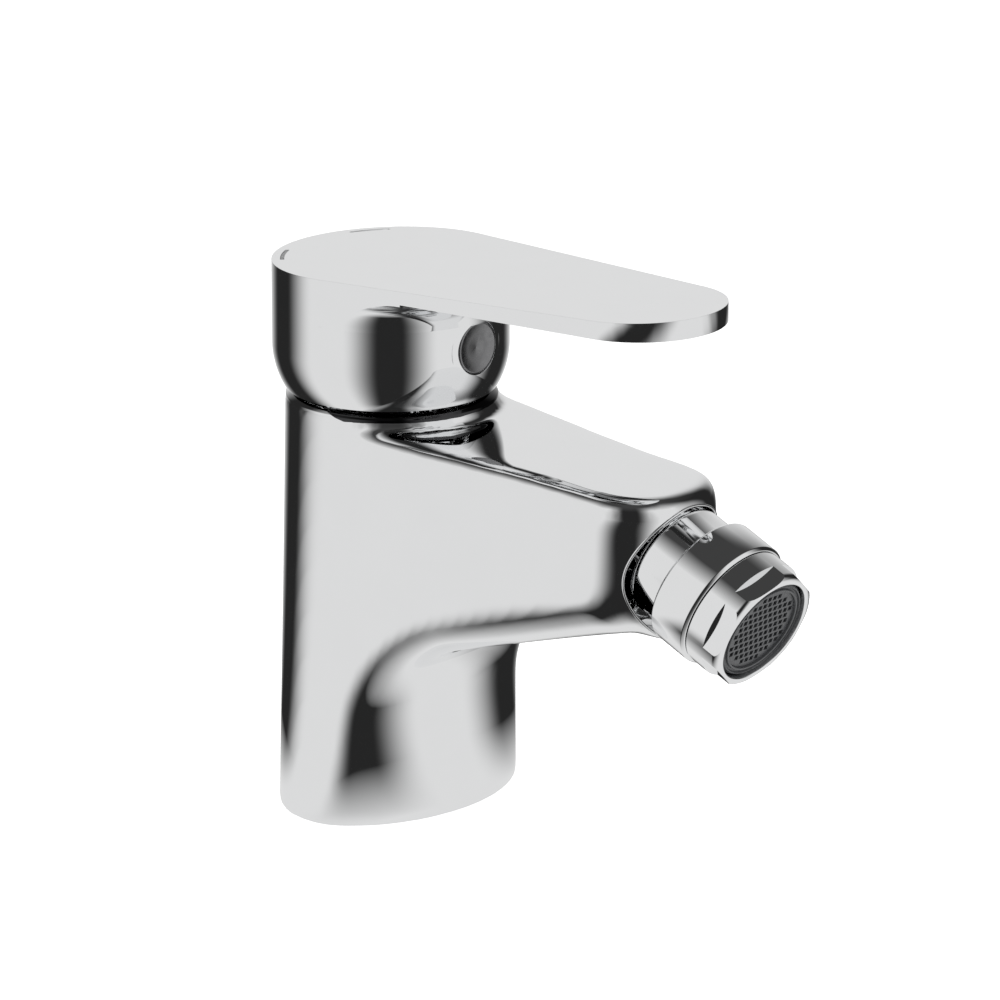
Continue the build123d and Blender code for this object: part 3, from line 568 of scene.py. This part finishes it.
# %% Recess and nose
NOSE_CENTRE = 63.7 * MM
NOSE_CORNER = 13.0 * MM
NOSE_FLAT = 2.5 * MM
NOSE_SIDES = 96
RECESS_AXIS = Vector((0, 0, RECESS_HEIGHT)) * MM
RECESS_RADIUS = 13.0 * MM
RECESS_FLOOR = 64.0 * MM
RECESS_SIDES = 160
PAST_NOSE = 90 * MM
FILLER_EXTRA = 0.4 * MM
OVERRUN = 1 * MM


def rod_along_x(name, radius, start, stop):
    """Closed cylinder round the recess's axis."""
    rod = bmesh.new()
    middle = RECESS_AXIS + Vector(((start + stop) / 2, 0, 0))
    bmesh.ops.create_cone(rod, cap_ends=True, segments=RECESS_SIDES, radius1=radius, radius2=radius,
                          depth=stop - start,
                          matrix=Matrix.Translation(middle) @ Matrix.Rotation(math.radians(90), 4, "Y"))
    return to_mesh(rod, name)


nose = bmesh.new()
bmesh.ops.create_circle(nose, cap_ends=False, segments=NOSE_SIDES, radius=NOSE_CORNER)
nose_bottom = RECESS_AXIS.z - RECESS_RADIUS - OVERRUN
for vert in nose.verts:
    vert.co += Vector((NOSE_CENTRE, math.copysign(NOSE_FLAT, vert.co.y), nose_bottom))
bmesh.ops.contextual_create(nose, geom=nose.edges)
raise_faces(nose, 2 * (RECESS_RADIUS + OVERRUN))
plug_form = rod_along_x("plug_form", RECESS_RADIUS + FILLER_EXTRA, RECESS_FLOOR - OVERRUN, PAST_NOSE)
filler = combine(to_mesh(nose, "nose"), plug_form, "INTERSECT", "filler")
print("filler:", len(filler.polygons), "faces")

# %% [markdown]
# With the filler in its mouth the body gets its skin, and then its recess is
# bored. Squares of less than a millimetre are fine enough for the small rounds
# and keep the piece light.

# %% Body skin
SKIN_SQUARE = 0.7 * MM
SKIN_REACH = 1.1 * MM
SKIN_ROUNDS = 24
EDGE_ROUNDS = 7

skin = cast_skin("body", filler, SKIN_SQUARE, SKIN_REACH, SKIN_ROUNDS, EDGE_ROUNDS, body_blend)
recess_form = rod_along_x("recess_form", RECESS_RADIUS, RECESS_FLOOR, PAST_NOSE)
body_skin = combine(skin, recess_form, "DIFFERENCE", "body_skin")
body_skin.set_sharp_from_angle(angle=REAL_EDGE)
add_piece(body_skin, chrome, "body")

# %% [markdown]
# The mouth's edge is polished to a fine round, which catches a line of light.
# A bevel would have to run along a boolean's uneven edge. A thin round lip
# that follows the mouth, where cylinder and nose meet, gives the same line.

# %% Recess lip
LIP_RADIUS = 0.28 * MM
LIP_SINK_SHARE = 0.6
LIP_WIDTH_SHARE = 1.012
LIP_POINTS = 192

lip_curve = bpy.data.curves.new("recess_lip", "CURVE")
lip_curve.dimensions = "3D"
lip_curve.bevel_depth = LIP_RADIUS
lip_curve.bevel_resolution = 4
lip_line = lip_curve.splines.new("POLY")
lip_line.points.add(LIP_POINTS - 1)
lip_line.use_cyclic_u = True
for number, point in enumerate(lip_line.points):
    turn = 2 * math.pi * number / LIP_POINTS
    y = RECESS_RADIUS * math.cos(turn)
    x = NOSE_CENTRE + math.sqrt(NOSE_CORNER ** 2 - max(0, abs(y) - NOSE_FLAT) ** 2)
    z = RECESS_AXIS.z + RECESS_RADIUS * LIP_WIDTH_SHARE * math.sin(turn)
    point.co = (x - LIP_RADIUS * LIP_SINK_SHARE, y * LIP_WIDTH_SHARE, z, 1)
lip_object = bpy.data.objects.new("lip_line", lip_curve)
scene.collection.objects.link(lip_object)
lip = finished(lip_object, "recess_lip")
lip.shade_smooth()
add_piece(lip, chrome, "body")

# %% [markdown]
# ## Handle
# Hood and paddle are one casting with flat and round faces, so the solid
# already has the right shape. A copy of it gets its triangles merged into
# whole faces and a fine bevel on each edge. Long thin faces shade unevenly,
# so the flats and the turned faces get their true normals.

# %% Soft edges
FLAT_ENOUGH = math.radians(0.3)


def softened(name, width, gone, true_normal):
    """Mesh of a CAD node with fine round edges, less the faces that another piece takes over."""
    solid = solid_copy(name)
    bmesh.ops.dissolve_limit(solid, angle_limit=FLAT_ENOUGH, verts=solid.verts, edges=solid.edges)
    lost = [face for face in solid.faces if all(gone(vert.co) for vert in face.verts)]
    bmesh.ops.delete(solid, geom=lost, context="FACES")
    for face in solid.faces:
        face.smooth = True
    block = bpy.data.objects.new(name, to_mesh(solid, name + "_merged"))
    scene.collection.objects.link(block)
    bevel = block.modifiers.new("edges", "BEVEL")
    bevel.limit_method = "ANGLE"
    bevel.angle_limit = REAL_EDGE
    bevel.width = width
    bevel.segments = 3
    bevel.harden_normals = True
    soft = finished(block, name + "_soft")
    normals = [corner.vector.copy() for corner in soft.corner_normals]
    for polygon in soft.polygons:
        for corner in polygon.loop_indices:
            point = soft.vertices[soft.loops[corner].vertex_index].co
            normals[corner] = true_normal(point, polygon.normal) or normals[corner]
    soft.normals_split_custom_set(normals)
    return soft


# %% [markdown]
# The hood's wall is a cylinder, and its rim is an arc turned round the same
# axis. The wall flares into the paddle in a hollow round, which a turned piece
# takes over further down. Heights and radii are in millimetres.

# %% Handle
HOOD_RADIUS = 23.0
RIM_CENTRE = 6.091
RIM_START = 91.449
FLARE_START = 99.1
FLARE_CENTRE = 30.0
FLARE_RADIUS = 7.0
FLARE_FOOT = 99.0
FACES_UP = 0.99
FACES_ALIKE = 0.985
ON_WALL = 0.05
ON_FLARE = 0.06
HANDLE_EDGE = 0.3 * MM


def hood_normal(point, facing):
    """The hood's own normal at a point of a face: flat on top, turned on the wall and the rim."""
    x, y, z = point / MM
    around = math.hypot(x, y)
    if facing.z > FACES_UP:
        return facing.copy()
    if z > RIM_START:
        true = Vector((x, y, 0)).normalized()
        return true if abs(around - HOOD_RADIUS) < ON_WALL and true.dot(facing) > FACES_ALIKE else None
    slope = Vector((around - RIM_CENTRE, z - RIM_START)).normalized()
    true = Vector((x / around * slope.x, y / around * slope.x, slope.y))
    return true if true.dot(facing) > FACES_ALIKE else None


def on_flare(point):
    """True on the hollow round between the hood's wall and the paddle."""
    x, y, z = point / MM
    from_centre = math.hypot(z - FLARE_START, math.hypot(x, y) - FLARE_CENTRE)
    return z > FLARE_FOOT and abs(from_centre - FLARE_RADIUS) < ON_FLARE


add_piece(softened("handle", HANDLE_EDGE, on_flare, hood_normal), chrome, "handle")

# %% [markdown]
# ## Turned pieces
# Everything on the ball joint is turned on a lathe, so each piece is a section
# spun round the joint's axis. A section is a list of distances along the axis
# and radii, both in millimetres, and its corners get a small round.

# %% Lathe
TURNED_STEPS = 144
TURNED_MERGE = 0.002 * MM


def turned(name, section, centre, axis, corner):
    """Mesh of a closed section spun round an axis, with its corners rounded."""
    side = Vector((-axis.z, 0, axis.x))
    lathe = bmesh.new()
    ring = [lathe.verts.new(centre + axis * along * MM + side * radius * MM) for along, radius in section]
    edges = [lathe.edges.new((a, b)) for a, b in zip(ring, ring[1:] + ring[:1])]
    bmesh.ops.spin(lathe, geom=ring + edges, cent=centre, axis=axis, angle=2 * math.pi, steps=TURNED_STEPS,
                   use_merge=True)
    bmesh.ops.remove_doubles(lathe, verts=lathe.verts, dist=TURNED_MERGE)
    bmesh.ops.recalc_face_normals(lathe, faces=lathe.faces)
    joined = [edge for edge in lathe.edges if len(edge.link_faces) == 2]
    corners = [edge for edge in joined if edge.calc_face_angle() > REAL_EDGE]
    bmesh.ops.bevel(lathe, geom=corners, offset=corner * MM, offset_type="OFFSET", affect="EDGES", segments=3,
                    profile=0.5, material=-1, clamp_overlap=True)
    for face in lathe.faces:
        face.smooth = True
    return to_mesh(lathe, name)


def arc(centre_along, centre_radius, radius, start, stop, count=8):
    """Points of an arc in a section, between two angles in degrees from the axis."""
    angles = [math.radians(start + (stop - start) * step / count) for step in range(count + 1)]
    return [(centre_along + radius * math.cos(a), centre_radius + radius * math.sin(a)) for a in angles]


# %% [markdown]
# The sleeve turns on the ball inside it. From the ball it runs out to a thin
# skirt, and a wider collar closes on the aerator housing.

# %% Swivel sleeve
BALL = Vector((77.45, 0, 60)) * MM
DROOP = math.radians(23.5)
JOINT_AXIS = Vector((math.cos(DROOP), 0, -math.sin(DROOP)))

sleeve = [
    (-6.6, 8.9), *arc(-4.4, 8.9, 2.5, 165, 90), (1.68, 11.4), (1.68, 12.7), (2.18, 13.2), (10.0, 13.2),
    (10.6, 12.75), (10.6, 10.6), (3.6, 10.6), (3.6, 9.65), *arc(0, 0, 9.65, 90, 122),
]
add_piece(turned("sleeve_turned", sleeve, BALL, JOINT_AXIS, 0.12), chrome, "swivel_sleeve")

# %% [markdown]
# The aerator housing screws into the sleeve and has six flats for a spanner.
# They are milled into the round skirt, so here too a tool cuts them: a ring
# with a six-sided hole takes the skirt away around them.

# %% Aerator housing
FLATS_ACROSS = 22.9 * MM
FLATS_BACK = 15.0 * MM
FLATS_LENGTH = 10 * MM
FLATS_TURN = math.radians(50)
FLATS = 6
FLAT_EDGE = math.radians(14)

housing = [
    (7.6, 9.0), (7.6, 10.5), (10.75, 10.5), (10.75, 12.5), (17.5, 12.5), *arc(17.7, 11.2, 1.3, 80, 0),
    (19.0, 10.8), (18.8, 10.6), (12.2, 10.6), (12.2, 9.0),
]
skirt = turned("housing_turned", housing, BALL, JOINT_AXIS, 0.1)

mill = bmesh.new()
to_corner = FLATS_ACROSS / 2 / math.cos(math.pi / FLATS)
bmesh.ops.create_circle(mill, cap_ends=False, segments=FLATS, radius=to_corner)
bmesh.ops.create_circle(mill, cap_ends=False, segments=FLATS, radius=FLATS_ACROSS)
bmesh.ops.bridge_loops(mill, edges=mill.edges)
raise_faces(mill, FLATS_LENGTH)
upward = JOINT_AXIS.cross(Vector((0, 1, 0)))
turn_x = Vector((0, 1, 0)) * math.cos(FLATS_TURN) + upward * math.sin(FLATS_TURN)
turn_y = JOINT_AXIS.cross(turn_x)
turned_mill = Matrix((turn_x, turn_y, JOINT_AXIS)).transposed().to_4x4()
mill.transform(Matrix.Translation(BALL + JOINT_AXIS * FLATS_BACK) @ turned_mill)
milled = combine(skirt, to_mesh(mill, "mill"), "DIFFERENCE", "housing_milled")
milled.shade_smooth()
milled.set_sharp_from_angle(angle=FLAT_EDGE)
add_piece(milled, chrome, "aerator_housing")

# %% [markdown]
# ## Neck
# The hood stands over the neck, whose rim is machined for the cartridge's nut.
# Smoothing left the skin a little ragged there, so a turned ring covers it.

# %% Neck top
UPWARD = Vector((0, 0, 1))
COLUMN_FOOT = Vector((0, 0, 0))

neck_rim = [(79.0, 18.45), (79.0, 20.4), (81.0, 20.45), (81.95, 19.5), (81.95, 18.45)]
add_piece(turned("neck_top", neck_rim, COLUMN_FOOT, UPWARD, 0.1), chrome, "body")

# %% [markdown]
# In front, where the spout's top lies lower, the neck's wall stands in the
# hood's shade and shows nearly black. Room and floor can't darken it alone, so
# that crescent is a ring of chrome with painted shade, cut aslant: its
# near-black colour stands in for the hood's shade.

# %% Neck crescent
CRESCENT_TOP = Vector((0, 0, 82)) * MM
CRESCENT_SLANT = Vector((0.29, 0, 1))

# Painted shade: the near-black colour of this chrome stands in for the hood's shade on the neck's crescent.
painted_shade_chrome = make_material("chrome_painted_shade", (0.06, 0.06, 0.062), 1.0, POLISHED, 0.01)
neck_wall = [(76.5, 18.9), (76.5, 21.22), (80.9, 20.76), (82.0, 19.6), (82.0, 18.45), (79.0, 18.45)]
ring = bmesh.new()
ring.from_mesh(turned("neck_ring", neck_wall, COLUMN_FOOT, UPWARD, 0.12))
bmesh.ops.bisect_plane(ring, geom=ring.verts[:] + ring.edges[:] + ring.faces[:], plane_co=CRESCENT_TOP,
                       plane_no=CRESCENT_SLANT, clear_inner=True)
bmesh.ops.holes_fill(ring, edges=[edge for edge in ring.edges if edge.is_boundary])
crescent = to_mesh(ring, "neck_crescent")
crescent.set_sharp_from_angle(angle=REAL_EDGE)
add_piece(crescent, painted_shade_chrome, "body")

# %% [markdown]
# ## Flare
# Under the paddle the hood's wall flares out in a hollow round. On the solid it
# is a band of long facets, whose edges show in the chrome. A turned ring has
# even faces, and is trimmed by the paddle's outline: the hull of a large and a
# small circle, without its rear half, where there is no flare.

# %% Flare
PADDLE_CIRCLES = ((0, HOOD_RADIUS * MM), (64.1 * MM, 16.24 * MM))
FLARE_COVER = 0.02
OUTLINE_SIDES = 144
OUTLINE_INSET = 0.02 * MM
OUTLINE_BOTTOM = 93 * MM
OUTLINE_HEIGHT = 19 * MM
OUTLINE_REAR = 1 * MM

flare = [
    (98.7, 21.5), (98.7, 22.96), (98.95, 22.99),
    *arc(FLARE_START, FLARE_CENTRE, FLARE_RADIUS - FLARE_COVER, -90, 0, 12),
    (107.2, FLARE_CENTRE), (107.2, 21.5),
]
flare_ring = turned("flare_ring", flare, COLUMN_FOOT, UPWARD, 0.02)

outline = bmesh.new()
for centre, radius in PADDLE_CIRCLES:
    bmesh.ops.create_circle(outline, cap_ends=False, segments=OUTLINE_SIDES, radius=radius - OUTLINE_INSET,
                            matrix=Matrix.Translation((centre, 0, OUTLINE_BOTTOM)))
copied = bmesh.ops.duplicate(outline, geom=outline.verts)["geom"]
bmesh.ops.translate(outline, verts=[item for item in copied if isinstance(item, bmesh.types.BMVert)],
                    vec=Vector((0, 0, OUTLINE_HEIGHT)))
bmesh.ops.delete(outline, geom=[vert for vert in outline.verts if vert.co.x < OUTLINE_REAR], context="VERTS")
bmesh.ops.convex_hull(outline, input=outline.verts, use_existing_faces=False)
bmesh.ops.delete(outline, geom=[vert for vert in outline.verts if not vert.link_faces], context="VERTS")
bmesh.ops.recalc_face_normals(outline, faces=outline.faces)
trimmed = combine(flare_ring, to_mesh(outline, "outline"), "INTERSECT", "flare_trimmed")
trimmed.shade_smooth()
trimmed.set_sharp_from_angle(angle=REAL_EDGE)
add_piece(trimmed, chrome, "handle")

# %% [markdown]
# ## Aerator insert
# The insert shows as dark rings inside the mouth, around the grille. It is
# moulded, but round all the same, so it is turned like the rest.

# %% Aerator insert
insert = [
    (9.4, 7.75), (9.4, 8.85), (12.35, 8.85), (12.35, 10.4), (17.7, 10.4), (18.3, 10.0), (18.4, 9.75),
    (17.9, 9.6), (17.9, 9.2), (18.4, 9.1), (18.4, 8.68), (13.0, 8.68), (13.0, 7.75),
]
insert_turned = turned("insert_turned", insert, BALL, JOINT_AXIS, 0.08)
add_piece(insert_turned, grey_plastic, "aerator_insert")

# %% [markdown]
# ## Screw cover
# The cover hides the set screw on the hood's front: a shallow dished plug with
# a bright round rim. It is turned round the hole's own axis.

# %% Screw cover
COVER_CENTRE = Vector((20.65, 0, 93.9)) * MM
COVER_AXIS = Vector((1, 0, 0))

cover = [
    (0, 0.02), (0, 5.2), (1.75, 5.2), *arc(1.55, 4.75, 0.45, 60, -10, 4),
    (1.75, 4.2), (1.6, 2.5), (1.5, 0.02),
]
cover_turned = turned("cover_turned", cover, COVER_CENTRE, COVER_AXIS, 0.05)
add_piece(cover_turned, plug_plastic, "screw_cover")
